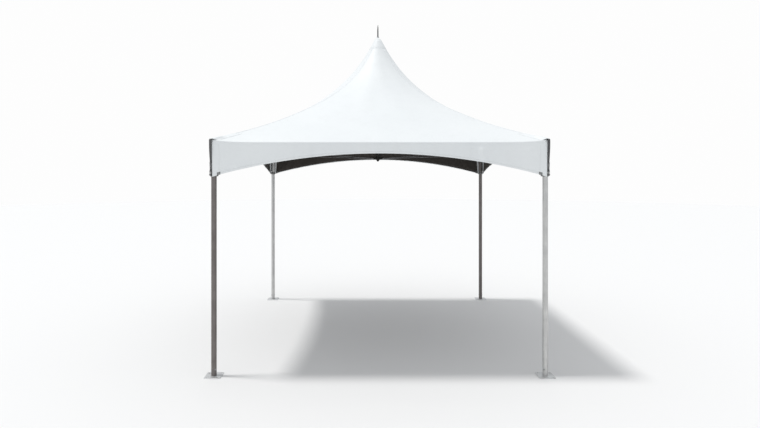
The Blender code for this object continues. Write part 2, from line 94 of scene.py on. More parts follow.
# The cloth
CLOTH = 0.0012
VALANCE_MIDDLE_Z = 2.013
VALANCE_CORNER_Z = 1.807
VALANCE_END = HALF + 0.017
COLLAR_RADII = (0.0125, 0.024)
HALF_COLUMNS = 52
VALANCE_ROWS = 16
HEM = 0.022
END_HEM = 0.06
SIDE_PATCH = 0.17
FOLD_STEP = 0.0007
FOLD_X = 0.908
FOLD_SLANT = 0.27
FOLD_WIDTH = 0.028
FOLD_DEPTH = 0.011
SEAM_X = -0.033
SEAM_WIDTH = 0.006
WRINKLE_X = 1.36
WRINKLE_DROP = 0.05
HALF_HIP_SEAM = 0.013
HALF_LINING = 0.021
TAB_START = HALF - 0.03
TAB_WIDTH = 0.034
TAB_HEIGHT = 0.024
PATCH_HALF_WIDTH = 0.056
PATCH_PROUD = 0.0009
PATCH_EDGE_PROUD = 0.0003
THREAD_WIDTH = 0.0008

# The strap and its anchor
STRAP_WIDTH = 0.045
STRAP_FOOT_WIDTH = 0.028
STRAP_THICKNESS = 0.002
STRAP_START = 0.9794
STRAP_FOOT_Z = 1.8525
STRAP_FOOT_REACH = 0.03
STRAP_FOLD = 0.33
LOOP_RADIUS = 0.0034
LUG_REACH = 0.039
LUG_HOLE = 0.0034
ANCHOR_Z = 1.82

# Metal parts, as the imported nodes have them
GAP = 0.0003
WALL = 0.003
PLATE_THICKNESS = 0.006
SLEEVE_RADIUS = 0.027
SLEEVE_LENGTH = 0.12
CORE_LENGTH = 0.028
BORE_RADIUS = 0.0243
EYE_REACH = 0.07
EYE_DROP = 0.02
BOSS_Z = 2.0
BOSS_REACH = 0.075
ROPE_START = 0.205
HUB_FLOOR = 1.985
CAP_CLOTH = 0.004
WASHER = 0.001

# Slots
FABRIC, WEBBING = "coated_cloth", "webbing"
TUBE, STEEL = "aluminium_tube", "galvanised_steel"


def link_object(name, data):
    obj = bpy.data.objects.new(name, data)
    bpy.context.scene.collection.objects.link(obj)
    return obj


def turn_z(degrees):
    return Matrix.Rotation(radians(degrees), 4, "Z")


def pieces(places, build, paint, slot, smooth, node=None, cloth=0.0, offset=1):
    """A piece named after build at each of places: build(shape, place) makes it at the front left or
    front, and the place's degrees turn it round the tent. Edges of more than smooth degrees are sharp.
    With cloth, build makes one side, and the piece is thickened by that much."""
    made = []
    for place, degrees in places.items():
        shape = bmesh.new()
        build(shape, place)
        bmesh.ops.transform(shape, matrix=turn_z(degrees), verts=shape.verts)
        if not cloth:
            bmesh.ops.recalc_face_normals(shape, faces=shape.faces[:])
        ending = place and f"_{place}"
        data = bpy.data.meshes.new(build.__name__ + ending)
        shape.to_mesh(data)
        shape.free()
        for material in paint(place) if callable(paint) else paint:
            data.materials.append(material)
        data.shade_smooth()
        data.set_sharp_from_angle(angle=radians(smooth))
        piece = link_object(data.name, data)
        if cloth:
            shell = piece.modifiers.new("cloth", "SOLIDIFY")
            shell.thickness = cloth
            shell.offset = offset
        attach(piece, "root")
        if node:
            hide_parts(node + ending)
        made.append(piece)
    return made


moved = Matrix.Translation


def toward(origin, direction):
    """Matrix whose +Z runs along direction from origin."""
    return moved(origin) @ Vector(direction).to_track_quat("Z", "Y").to_matrix().to_4x4()


def circle(radius, count, height=0.0):
    """Points round the Z axis."""
    turns = (2 * pi * k / count for k in range(count))
    return [Vector((radius * cos(a), radius * sin(a), height)) for a in turns]


def verts(shape, points):
    return [shape.verts.new(point) for point in points]


def bend(near, corner, far, t):
    """Curve from near to far, pulled towards corner."""
    return near * (1 - t) ** 2 + corner * 2 * t * (1 - t) + far * t ** 2


def skin(shape, rows, around=False, flip=False):
    """Faces between neighbouring rows of vertices; with around, each row closes on itself."""
    faces = []
    for first, second in zip(rows, rows[1:]):
        count = len(first)
        for k in range(count if around else count - 1):
            following = (k + 1) % count
            if flip:
                quad = (first[k], first[following], second[following], second[k])
            else:
                quad = (first[k], second[k], second[following], first[following])
            faces.append(shape.faces.new(quad))
    return faces


def tube(shape, rings):
    """Closed body through rings of vertices."""
    skin(shape, rings, around=True, flip=True)
    shape.faces.new(rings[0])
    shape.faces.new(rings[-1])


def lathe(shape, profile, place=UPRIGHT, sides=64):
    """Body of revolution round place's Z axis, from (radius, height) pairs round its half section, which
    starts and ends on the axis or else closes on itself."""
    rings = [verts(shape, [place @ point for point in circle(radius, sides if radius else 1, height)])
             for radius, height in profile]
    if len(rings[0]) > 1:
        rings.append(rings[0])
    for first, second in zip(rings, rings[1:]):
        for k in range(sides):
            following = (k + 1) % sides
            corners = dict.fromkeys((first[k % len(first)], second[k % len(second)],
                                     second[following % len(second)], first[following % len(first)]))
            if len(corners) > 2:
                shape.faces.new(list(corners))


def turned(inner, outer, low, high, chamfer):
    """Half section of a tube, ring or pin with its outer edges broken."""
    return [(inner, low), (outer - chamfer, low), (outer, low + chamfer), (outer, high - chamfer),
            (outer - chamfer, high), (inner, high)]


def block(shape, size, place, bevel=0.0008):
    """Box with rounded edges, centred on place."""
    made = bmesh.ops.create_cube(shape, size=1, matrix=place @ Matrix.Diagonal((*size, 1)))
    edges = list({edge for vert in made["verts"] for edge in vert.link_edges})
    bmesh.ops.bevel(shape, geom=edges, offset=bevel, segments=2, affect="EDGES", profile=0.5)


def hexagon(shape, place, across, low, high):
    """Nut or head round place's Z axis, with its corners turned down."""
    radius = across / sqrt(3)
    lathe(shape, [(0, low), (radius * 0.9, low), (radius, low + 0.0005), (radius, high - 0.0005),
                  (radius * 0.88, high), (0, high)], place, 6)


def bolt(shape, place, across, nut=False):
    """Washer and head standing on place's XY plane, or with nut the bolt's other end."""
    radius = across * 0.68
    lathe(shape, [(0, 0), (radius, 0), (radius, WASHER), (0, WASHER)], place, 32)
    hexagon(shape, place, across, WASHER, WASHER + across * (0.5 if nut else 0.42))
    if nut:
        thread(shape, place, across * 0.29, WASHER + across * 0.4, WASHER + across * 0.75)


def thread(shape, place, radius, low, high, pitch=0.00125):
    profile = [(0, low)]
    count = round((high - low) / pitch)
    for k in range(count):
        z = low + (high - low) * k / count
        profile += [(radius * 0.88, z), (radius, z + pitch * 0.35), (radius, z + pitch * 0.6)]
    profile += [(radius * 0.88, high), (0, high)]
    lathe(shape, profile, place, 20)


def wire_along(shape, points, radius, sides, closed=False):
    """Round wire through points, with flat ends unless it is closed."""
    count = len(points)
    rings = []
    side = None
    for k, point in enumerate(points):
        before = points[k - 1] if k or closed else point
        after = points[(k + 1) % count] if k < count - 1 or closed else point
        tangent = (after - before).normalized()
        side = side or tangent.orthogonal().normalized()
        side = (side - tangent * side.dot(tangent)).normalized()
        other = tangent.cross(side)
        turns = (2 * pi * j / sides for j in range(sides))
        rings.append(verts(shape, [point + (side * cos(a) + other * sin(a)) * radius for a in turns]))
    if closed:
        start = rings[0]
        shift = min(range(sides), key=lambda j: (start[j].co - rings[-1][0].co).length)
        skin(shape, [*rings, start[shift:] + start[:shift]], around=True, flip=True)
    else:
        tube(shape, rings)


def ribbon(shape, points, across, widths, thickness):
    """Flat band through points, as wide along across as widths says at each, with soft edges."""
    steps = (-0.49, -0.25, 0, 0.25, 0.49)
    section = [(-0.5, 0), *[(a, 0.5) for a in steps], (0.5, 0), *[(-a, -0.5) for a in steps]]
    rings = []
    for k, (point, width) in enumerate(zip(points, widths)):
        tangent = (points[min(k + 1, len(points) - 1)] - points[max(k - 1, 0)]).normalized()
        normal = tangent.cross(across).normalized()
        rings.append(verts(shape, [point + across * a * width + normal * b * thickness
                                   for a, b in section]))
    tube(shape, rings)


def stitch_line(shape, place_at, start, end, pitch=0.0055):
    """Stitches from start to end, each humped between its two holes; place_at(position) gives a point and
    its outward direction."""
    for k in range(int((end - start) / pitch)):
        first = start + k * pitch
        head, out = place_at(first)
        tail = place_at(first + pitch * 0.72)[0]
        along = tail - head
        side = along.cross(out).normalized() * THREAD_WIDTH / 2
        slim, high = side * 0.6, out * THREAD_WIDTH * 0.7
        near, far = head + along * 0.25 + high, head + along * 0.75 + high
        low = verts(shape, (head - side, head + side, tail + side, tail - side))
        top = verts(shape, (near - slim, near + slim, far + slim, far - slim))
        shape.faces.new(top)
        shape.faces.new(low[::-1])
        skin(shape, [low, top], around=True, flip=True)


# Materials


class Tree:
    """A material's nodes, with short calls to add and link them."""

    def __init__(self, name):
        self.material = bpy.data.materials.new(name)
        self.material.use_nodes = True
        self.nodes = self.material.node_tree.nodes
        self.place = self.add("TexCoord", "Object")

    def feed(self, node, inputs):
        """Links or sets the node's inputs, without those that are None."""
        for key, value in inputs.items():
            if isinstance(value, bpy.types.NodeSocket):
                self.material.node_tree.links.new(value, node.inputs[key])
            elif value is not None:
                node.inputs[key].default_value = value

    def add(self, kind, output, inputs={}, **settings):
        """Adds a node and gives one of its outputs."""
        made = self.nodes.new("ShaderNode" + kind)
        for key, value in settings.items():
            setattr(made, key, value)
        self.feed(made, inputs)
        return made.outputs[output]

    def scaled(self, scale):
        return self.add("Mapping", "Vector", {"Scale": scale, "Vector": self.place})

    def noise(self, scale, detail=4, roughness=0.55, where=None, distortion=0.0):
        return self.add("TexNoise", "Fac", {"Scale": scale, "Detail": detail, "Roughness": roughness,
                                            "Distortion": distortion, "Vector": where or self.place})

    def wave(self, scale, axis):
        return self.add("TexWave", "Fac", {"Scale": scale, "Vector": self.place}, bands_direction=axis)

    def ramp(self, value, low, dark, high, light):
        """Colours from dark at low to light at high."""
        made = self.add("ValToRGB", "Color", {"Fac": value})
        for element, place, colour in zip(made.node.color_ramp.elements, (low, high), (dark, light)):
            element.position = place
            element.color = (*colour, 1)
        return made

    def span(self, value, low, high, start=0.0, end=1.0):
        """Numbers from low to high as value goes from start to end."""
        return self.add("MapRange", "Result", {"Value": value, "From Min": start, "From Max": end,
                                               "To Min": low, "To Max": high})

    def math(self, operation, first, second):
        return self.add("Math", "Value", {0: first, 1: second}, operation=operation)

    def mix(self, factor, first, second):
        return self.add("Mix", 2, {0: factor, 6: first, 7: (*second, 1)}, data_type="RGBA")

    def bump(self, height, distance, strength, below=None):
        return self.add("Bump", "Normal", {"Height": height, "Distance": distance, "Strength": strength,
                                           "Normal": below})

    def finish(self, colour, roughness, normal=None, metallic=0.0, sheen=0.0):
        """The material as the one in a list."""
        inputs = {"Base Color": colour, "Roughness": roughness, "Normal": normal, "Metallic": metallic}
        self.feed(self.nodes["Principled BSDF"], {**inputs, "Sheen Weight": sheen})
        return [self.material]


def ripple_over_weave(tree, strength):
    """Bump of a plain weave, from bands along the three axes, with soft ripples."""
    bands = [tree.wave(260, axis) for axis in "XYZ"]
    weave = tree.math("MAXIMUM", tree.math("MAXIMUM", bands[0], bands[1]), bands[2])
    fine = tree.bump(weave, 0.0002, strength)
    return tree.bump(tree.noise(7, detail=3, distortion=0.4), 0.006, 0.35, fine)


def cloth_outside():
    tree = Tree("coated cloth, white side")
    colour = tree.ramp(tree.noise(1.1, detail=3), 0.3, (0.775, 0.805, 0.822), 0.7, (0.815, 0.842, 0.854))
    streaks = tree.noise(9, detail=6, where=tree.scaled((1, 1, 0.12)))
    colour = tree.mix(tree.span(streaks, 0.0, 0.1, 0.52, 0.85), colour, (0.52, 0.53, 0.52))
    rough = tree.span(tree.noise(14), 0.46, 0.6)
    return tree.finish(colour, rough, ripple_over_weave(tree, 0.25), sheen=0.05)


# The inner side of the roof and valances: its dark brown colour is painted shade, for the shade under the
# roof.
def shaded_inner_cloth():
    tree = Tree("coated cloth inside, painted shade")
    colour = tree.ramp(tree.noise(2.5, detail=5), 0.3, (0.026, 0.021, 0.017), 0.75, (0.044, 0.036, 0.03))
    return tree.finish(colour, tree.span(tree.noise(12), 0.55, 0.72), ripple_over_weave(tree, 0.4))


def tube_metal(name, dark, light, roughness, stretch=(1, 1, 0.03)):
    """Drawn tube: streaks along its length, scuffs and dull patches."""
    tree = Tree(name)
    streaks = tree.noise(320, detail=3, where=tree.scaled(stretch))
    patches = tree.noise(6, detail=6, roughness=0.65)
    tone = tree.math("ADD", tree.math("MULTIPLY", streaks, 0.45), tree.math("MULTIPLY", patches, 0.55))
    scuffs = tree.span(tree.noise(45, detail=8, roughness=0.7), 0.0, 0.22, 0.6, 0.75)
    dull = tree.span(patches, roughness - 0.06, roughness + 0.08, 0.3, 0.7)
    return tree.finish(tree.ramp(tone, 0.35, dark, 0.65, light), tree.math("ADD", dull, scuffs),
                       tree.bump(streaks, 0.0003, 0.25), metallic=1.0)


def cast_metal():
    tree = Tree("cast aluminium")
    grain = tree.noise(420, detail=3)
    colour = tree.ramp(tree.noise(30, detail=5), 0.3, (0.22, 0.22, 0.225), 0.7, (0.34, 0.34, 0.345))
    return tree.finish(colour, tree.span(grain, 0.45, 0.65), tree.bump(grain, 0.0008, 0.5), metallic=0.9)


def galvanised(name, dark, light):
    """Zinc flakes with dull stains."""
    tree = Tree(name)
    spangle = tree.add("TexVoronoi", "Color", {"Scale": 220, "Vector": tree.place}, feature="F1")
    stain = [0.8 * value * tint for value, tint in zip(dark, (1, 0.97, 0.92))]
    colour = tree.mix(tree.span(tree.noise(20, detail=6), 0.0, 0.5, 0.45, 0.8),
                      tree.ramp(spangle, 0.2, dark, 0.8, light), stain)
    return tree.finish(colour, tree.span(tree.noise(60), 0.38, 0.6), tree.bump(tree.noise(90), 0.0006, 0.3),
                       metallic=0.85)


def webbing(name, dark, light):
    tree = Tree(name)
    picks = tree.math("MAXIMUM", tree.wave(420, "X"), tree.wave(420, "Y"))
    height = tree.math("MULTIPLY", tree.wave(310, "Z"), picks)
    return tree.finish(tree.ramp(tree.noise(60, detail=6), 0.3, dark, 0.75, light),
                       tree.span(height, 0.68, 0.85), tree.bump(height, 0.0008, 0.8), sheen=0.2)


def wire():
    tree = Tree("wire rope")
    colour = tree.ramp(tree.noise(260), 0.3, (0.13, 0.13, 0.135), 0.7, (0.3, 0.3, 0.31))
    grooves = tree.wave(900, "DIAGONAL")
    rough = tree.span(grooves, 0.35, 0.55)
    return tree.finish(colour, rough, tree.bump(grooves, 0.0003, 0.5), metallic=1.0)


def sewing_thread():
    tree = Tree("sewing thread")
    tone = tree.noise(800, detail=2)
    return tree.finish(tree.ramp(tone, 0.3, (0.62, 0.63, 0.63), 0.7, (0.74, 0.75, 0.75)),
                       tree.span(tone, 0.6, 0.75), tree.bump(tree.wave(1400, "DIAGONAL"), 0.0002, 0.5))


# The roof's surface


def roof_line(s):
    """Half-width and height of the cloth's outer side, with s from 0 at the eave to 1 at the peak."""
    eave_width = HALF + WRAP_RADIUS * sin(EAVE_LEAN)
    eave_z = EAVE_Z + WRAP_RADIUS * cos(EAVE_LEAN)
    climb = EAVE_SHARE * s + (1 - EAVE_SHARE) * s ** PEAK_POWER
    return eave_width - (eave_width - PEAK_HALF_WIDTH) * s, eave_z + ROOF_RISE * climb


def eave_turn(u):
    """Half-width and height where the roof runs on to its creased edge and turns down."""
    start = Vector(roof_line(0))
    crease = Vector((OUTER, start.y - (OUTER - start.x) * tan(EAVE_LEAN)))
    near = crease + (start - crease).normalized() * CREASE_RADIUS
    far = crease + Vector((0, -CREASE_RADIUS))
    if u < 0.4:
        return start.lerp(near, u / 0.4)
    if u > 0.7:
        return far.lerp(Vector((OUTER, EAVE_Z)), (u - 0.7) / 0.3)
    return bend(near, crease, far, (u - 0.4) / 0.3)


def roof_point(t, angle):
    """Outer side of the roof. t is 0 at the peak, 1 over the eave tube and 2 where it hangs straight down;
    angle is 0 towards the front and turns towards the right."""
    if t <= 1:
        half_width, z = roof_line(1 - t)
        square = t ** ROUNDING_POWER
    else:
        (half_width, z), square = eave_turn(t - 1), 1
    side, front = sin(angle), cos(angle)
    norm = (abs(side) ** CORNER_POWER + abs(front) ** CORNER_POWER) ** (-square / CORNER_POWER)
    across = min(abs(side), abs(front)) / max(abs(side), abs(front))
    outward = min(1, max(0, (half_width - LIFT_START) / (HALF - LIFT_START)))
    rise = CORNER_LIFT * outward ** LIFT_OUTWARD_POWER * across ** LIFT_POWER
    free = sin(pi * min(1, t)) ** 2 * (1 - across ** 4)
    rise += SLACK * free * (sin(11 * angle + 9 * t) + sin(17 * angle - 5 * t + 1))
    return Vector((half_width * norm * side, -half_width * norm * front, z + rise))


def roof_normal(t, angle):
    step = 0.0005
    down = roof_point(min(2, t + step), angle) - roof_point(max(0, t - step), angle)
    turn = roof_point(t, angle + step) - roof_point(t, angle - step)
    return down.cross(turn).normalized()


def on_roof(t, angle, proud):
    return roof_point(t, angle) + roof_normal(t, angle) * proud


def side_columns():
    """Places along a side as shares of its half length, close together near corners, fold and seam."""
    folds = {round((FOLD_X + 0.012 * k) / OUTER, 6) for k in range(-5, 10)}
    folds |= {round((SEAM_X + SEAM_WIDTH / 2 * k) / OUTER, 6) for k in range(-3, 4)}
    steps = [k / HALF_COLUMNS for k in range(-HALF_COLUMNS, HALF_COLUMNS + 1)]
    shares = {round(0.4 * t + 0.6 * sin(pi / 2 * t), 6) for t in steps}
    shares = {share for share in shares if min(abs(share - fold) for fold in folds) > 0.0025}
    hem = HALF - END_HEM
    ends = {round(x / OUTER, 6) for x in (hem, hem + 0.0015, HALF + 0.006, VALANCE_END)} | {0.9965, 0.9985}
    return sorted(shares | folds | ends | {-share for share in ends})


def smooth_step(share):
    share = max(0.0, min(1.0, share))
    return share ** 2 * (3 - 2 * share)


def bell(x, centre, width):
    return exp(-((x - centre) / width) ** 2)


def valance_push(side, x, drop):
    """How far the hanging cloth stands out of its plane, drop metres below the eave."""
    seed = {"front": 1.0, "right": 2.3, "back": 3.1, "left": 4.7}[side]
    waves = sum(sin(2 * pi * x / length + seed * (k + 1.7)) / (k + 1)
                for k, length in enumerate((1.3, 0.71, 0.43, 0.27))) / 2
    push = 0.0045 * min(1, drop / 0.2) * waves * (1 - bell(abs(x), HALF, 0.09))
    for inward in (HALF + x, HALF - x):
        for number, (away, wide, deep) in enumerate(((0.1, 0.03, 0.003), (0.21, 0.042, 0.0036),
                                                     (0.37, 0.055, 0.003), (0.55, 0.075, 0.0022))):
            ridge = inward - away - (0.6 + 0.25 * sin(seed * 0.3 + number)) * (0.2 - drop)
            push += deep * bell(ridge, 0, wide) * min(1, drop / 0.05) * min(1, inward / 0.12)
    if side == "front":
        easing = smooth_step(drop / 0.06)
        push += FOLD_DEPTH * bell(x, FOLD_X + FOLD_SLANT * drop, FOLD_WIDTH) * easing
        push += 0.0016 * bell(x, SEAM_X, SEAM_WIDTH)
        for line in (-1, 0, 1):
            along = (x - WRINKLE_X) * 0.7 + (drop - WRINKLE_DROP) * 0.7 - 0.034 * line
            near_corner = bell(x, WRINKLE_X, 0.045) * bell(drop, WRINKLE_DROP, 0.05) * easing
            push += 0.007 * bell(along, 0, 0.014) * near_corner
    return push


def valance_height(x):
    """How far a valance's bottom hangs below the roll's edge."""
    return ROLL_END_Z - VALANCE_MIDDLE_Z + (VALANCE_MIDDLE_Z - VALANCE_CORNER_Z) * (x / HALF) ** 2


def valance_point(side, x, drop, inward=0.0):
    """Outer side of a valance in the front's frame, moved inward by that many metres."""
    height = valance_height(x)
    fold = FOLD_STEP if drop > height - HEM or abs(x) > HALF - END_HEM + 0.001 else 0
    tuck = 1 - 0.0073 * abs(x / OUTER) ** 20 * drop / 0.25
    lifted = roof_point(2, atan(x / OUTER)).z - EAVE_Z
    y = -OUTER - valance_push(side, x, drop) - fold + inward
    return Vector((x * tuck, y, ROLL_END_Z + lifted * (1 - drop / height) - drop))


# Pieces of cloth and webbing


def canopy(shape, _):
    """Roof and valances as one sheet round the tent, with the valances parted at the corners. Slots:
    0 white with 1 dark inside, which is painted shade, 2 white with 3 folded white inside."""
    roof_steps = [(step / 46) ** 1.35 for step in range(47)]
    roof_steps += [1.2, 1.36, 1.4, 1.45, 1.5, 1.55, 1.6, 1.65, 1.7, 1.74, 1.87, 2]
    columns = side_columns()
    angles = [atan(share) + radians(degrees) for degrees in SIDES.values() for share in columns[:-1]]
    rims = [roof_point(0, angle) for angle in angles]
    rings = [verts(shape, [(*(rim.xy.normalized() * radius), rim.z) for rim in rims])
             for radius in COLLAR_RADII]
    rings += [verts(shape, [roof_point(t, angle) for angle in angles]) for t in roof_steps]
    edge = verts(shape, [vert.co - UP * (EAVE_Z - ROLL_END_Z) for vert in rings[-1]])
    skin(shape, [*rings, edge], around=True)

    for number, (side, degrees) in enumerate(SIDES.items()):
        lines = []
        for k, share in enumerate(columns):
            if abs(share) > round(VALANCE_END / OUTER, 6) + 1e-6:
                continue
            x = share * OUTER
            height = valance_height(x)
            above = height - HEM
            drops = [above * (step / VALANCE_ROWS) ** 1.3 for step in range(1, VALANCE_ROWS + 1)]
            drops += [above + 0.0012, above + HEM * 0.55, height - 0.007, height]
            top = edge[(number * (len(columns) - 1) + k) % len(edge)]
            hanging = [turn_z(degrees) @ valance_point(side, x, drop) for drop in drops]
            lines.append([top, *verts(shape, hanging)])
        rows = len(lines[0]) - 1
        for face in skin(shape, lines, flip=True)[rows - 1::rows]:
            face.material_index = 2


def hip_band(shape, angle, places, half_width, section, flip=False):
    """Band along a hip through the places t; section has (share of the half width, height) pairs."""
    rows = []
    for t in places:
        radius = roof_point(t, angle).xy.length
        rows.append(verts(shape, [on_roof(t, angle + offset * half_width / radius, proud)
                                  for offset, proud in section]))
    skin(shape, rows, flip=flip)


def hip_seam(shape, corner):
    """Welded overlap along a hip."""
    section = [(-1, 0.0002), (-0.96, 0.0011), (-0.5, 0.0011), (0, 0.0012), (0.5, 0.0011), (0.96, 0.0011),
               (1, 0.0002)]
    hip_band(shape, radians(CORNERS[corner] - 45), [0.05 + 1.25 * (k / 90) ** 1.1 for k in range(91)],
             HALF_HIP_SEAM, section)


def hip_lining(shape, _):
    """Webbing welded inside a hip, from the mast's cap to the corner, dark in the inner side's painted
    shade.
    """
    section = [(offset, -CLOTH - proud) for offset, proud in
               ((-1, 0.0002), (-0.95, 0.0014), (0, 0.0016), (0.95, 0.0014), (1, 0.0002))]
    hip_band(shape, HIP, [0.03 + 0.9 * k / 80 for k in range(81)], HALF_LINING, section, flip=True)


def peak_collar(shape, _):
    """Second layer of cloth welded round the peak."""
    rows = [(0.0, 0.0006), (0.012, 0.0006), (0.03, 0.0006), (0.045, 0.0006), (0.0455, 0.0001)]
    skin(shape, [verts(shape, [on_roof(t, 2 * pi * k / 96, proud) for k in range(96)])
                 for t, proud in rows], around=True)


def eave_seam(shape, _):
    """Welded strip folded over an eave's crease."""
    rows = [(1.1, 0.0002), (1.14, 0.0008), (1.38, 0.0008), (1.44, 0.0009), (1.5, 0.001), (1.56, 0.001),
            (1.62, 0.001), (1.68, 0.0009), (1.78, 0.0008), (1.9, 0.0002)]
    reach = HALF + 0.012
    angles = [atan((-reach + 2 * reach * k / 150) / OUTER) for k in range(151)]
    skin(shape, [verts(shape, [on_roof(t, angle, proud) for t, proud in rows])
                 for angle in angles], flip=True)


def end_pieces(shape, side, rows_at):
    """Sheets at both ends of a valance, from rows_at(), which gives rows of (x, drop, inward)."""
    for end in (-1, 1):
        rows = [verts(shape, [valance_point(side, end * x, drop, inward) for x, drop, inward in row])
                for row in rows_at()]
        skin(shape, rows if end < 0 else rows[::-1], flip=True)


def end_patches(shape, side):
    """White cloth doubled inside each end of a valance."""
    wide, narrow = (END_HEM, END_HEM * 0.5) if side in ("front", "back") else (SIDE_PATCH, 0.05)

    def rows():
        for step in range(13):
            share = step / 12
            reach = wide + (narrow - wide) * share ** 0.8 + 0.014
            places = [VALANCE_END - 0.003 - reach * k / 8 for k in range(9)]
            yield [(x, 0.004 + (valance_height(x) - 0.012) * share, CLOTH + 0.0004) for x in places]

    end_pieces(shape, side, rows)


def corner_tabs(shape, side):
    """Webbing folded over the hem near each lower corner of a valance."""
    places = [TAB_START - TAB_WIDTH * k / 8 for k in range(9)]

    def rows():
        for inward, steps in ((-0.0012, range(7)), (CLOTH + 0.0012, range(6, -1, -1))):
            for step in steps:
                above = TAB_HEIGHT - (TAB_HEIGHT + 0.0008) * step / 6
                yield [(x, valance_height(x) - above, inward) for x in places]

    end_pieces(shape, side, rows)


def eyelets(shape, side):
    """Rolled steel eyelet through each corner tab."""
    roll = [(0.0046, 0), (0.0064, 0.0012), (0.008, 0.0006), (0.0085, 0), (0.008, -0.0004),
            (0.0052, -0.0006)]
    profile = [(radius, -CLOTH - 0.002 - z) for radius, z in roll]
    profile += [(radius, 0.002 + z) for radius, z in reversed(roll)]
    for end in (-1, 1):
        x = end * (TAB_START - TAB_WIDTH / 2)
        middle = valance_point(side, x, valance_height(x) - TAB_HEIGHT / 2)
        lathe(shape, profile, toward(middle, (0, -1, 0)), 28)


def hem_thread(shape, side):
    """Thread of a valance's bottom hem and of its two end hems."""
    out = Vector((0, -1, 0))
    reach = HALF - 0.005
    for above in (HEM - 0.003, HEM - 0.007):
        stitch_line(shape, lambda x: (valance_point(side, x, valance_height(x) - above, -0.0001), out),
                    -reach, reach)
    hem = HALF - END_HEM
    for x in (-hem - 0.004, -hem - 0.009, hem + 0.004, hem + 0.009):
        stitch_line(shape, lambda drop: (valance_point(side, x, drop, -0.0001), out),
                    0.014, valance_height(x) - HEM)


def hip_patch(shape, _):
    """Patch of white cloth over the strap's upper end, at the foot of the hip."""
    rows = []
    for k in range(27):
        t = 0.925 + 0.075 * min(1, k / 16) + 0.38 * max(0, (k - 16) / 10)
        radius = roof_point(t, HIP).xy.length
        along_rise = smooth_step((radius - LEG_AXIS.length + 0.074) / 0.014)
        row = []
        for j in range(-14, 15):
            across = PATCH_HALF_WIDTH * j / 14
            proud = PATCH_EDGE_PROUD if abs(j) == 14 or k == 0 else PATCH_PROUD
            on_cloth = on_roof(t, HIP + across / radius, proud)
            over_strap = on_roof(t, HIP, 0.0036) + ACROSS * across
            blend = along_rise * smooth_step((0.045 - abs(across)) / 0.02)
            row.append(shape.verts.new(on_cloth.lerp(over_strap, blend)))
        rows.append(row)
    skin(shape, rows)


def strap_side():
    """The strap's side view, x out from the leg's axis and z up, and where it leaves the roof and turns."""
    line = []
    for k in range(23):
        point = on_roof(STRAP_START + (2 - STRAP_START) * k / 22, HIP, PATCH_PROUD + STRAP_THICKNESS / 2)
        line.append(Vector((point.xy.length - LEG_AXIS.length, 0, point.z)))
    foot = Vector((STRAP_FOOT_REACH, 0, STRAP_FOOT_Z))
    top = Vector((line[-1].x, 0, ROLL_END_Z))
    line.append(top)
    for k in range(1, 13):
        line.append(top.lerp(foot, k / 12) + Vector((0.0007 * sin(7 * k / 12), 0, 0)))
    pin = foot + Vector((LOOP_RADIUS, 0, 0))
    for k in range(1, 9):
        turn = pi * k / 8
        line.append(pin - Vector((cos(turn), 0, sin(turn))) * LOOP_RADIUS)
    for k in range(1, 10):
        settle = LOOP_RADIUS * 2 - (LOOP_RADIUS * 2 - STRAP_THICKNESS * 1.15) * min(1, k / 9 * 4)
        line.append(foot.lerp(top, STRAP_FOLD * k / 9) + Vector((settle, 0, 0)))
    return line, top, foot


def at_corner(point):
    """A point of the side view in the tent's frame."""
    return LEG_AXIS + OUT * point.x + UP * point.z


def corner_strap_sewn(shape, _):
    """Webbing from under the hip's patch down to a ring, folded back and sewn."""
    line, top, foot = strap_side()
    widths = [STRAP_WIDTH + (STRAP_FOOT_WIDTH - STRAP_WIDTH)
              * max(0, min(1, (top.z - point.z) / (top.z - foot.z))) for point in line]
    ribbon(shape, [at_corner(point) for point in line], ACROSS, widths, STRAP_THICKNESS)


def strap_thread(shape, _):
    """Sewn box with a cross on the strap's folded end, and two rows on the roof's patch."""
    _, top, foot = strap_side()

    def on_fold(u, v):
        place = foot.lerp(top, STRAP_FOLD * v) + Vector((STRAP_THICKNESS * 1.68, 0, 0))
        return at_corner(place) + ACROSS * u

    low, high, side = 0.3, 0.92, 0.012
    box = [on_fold(u, v) for u, v in ((-side, low), (side, low), (side, high), (-side, high))]
    for first, second in ((0, 1), (1, 2), (2, 3), (3, 0), (0, 2), (1, 3)):
        start, end = box[first], box[second]
        length = (end - start).length
        stitch_line(shape, lambda d: (start.lerp(end, d / length), OUT), 0, length, 0.005)
    for edge in (-0.051, 0.051):
        def on_patch(t):
            angle = HIP + edge / roof_point(t, HIP).xy.length
            return on_roof(t, angle, 0.0012), roof_normal(t, angle)
        stitch_line(shape, on_patch, 0.93, 1.0, 0.0022)


# Pieces of metal


def strap_ring(shape, _):
    """Steel ring between the strap's loop and the anchor's lug."""
    top = at_corner(Vector((STRAP_FOOT_REACH + LOOP_RADIUS, 0, STRAP_FOOT_Z)))
    low = at_corner(Vector((LUG_REACH, 0, ANCHOR_Z)))
    half_top, half_low = ACROSS * 0.0175, ACROSS * 0.0065
    corners = [top + half_top, low + half_low, low - half_low, top - half_top]
    path = [top]
    for before, corner, after in zip([top, *corners], corners, [*corners[1:], top]):
        near, far = (corner + (other - corner).normalized() * 0.0045 for other in (before, after))
        path += [bend(near, corner, far, step / 6) for step in range(7)]
    wire_along(shape, path, 0.0021, 12, closed=True)


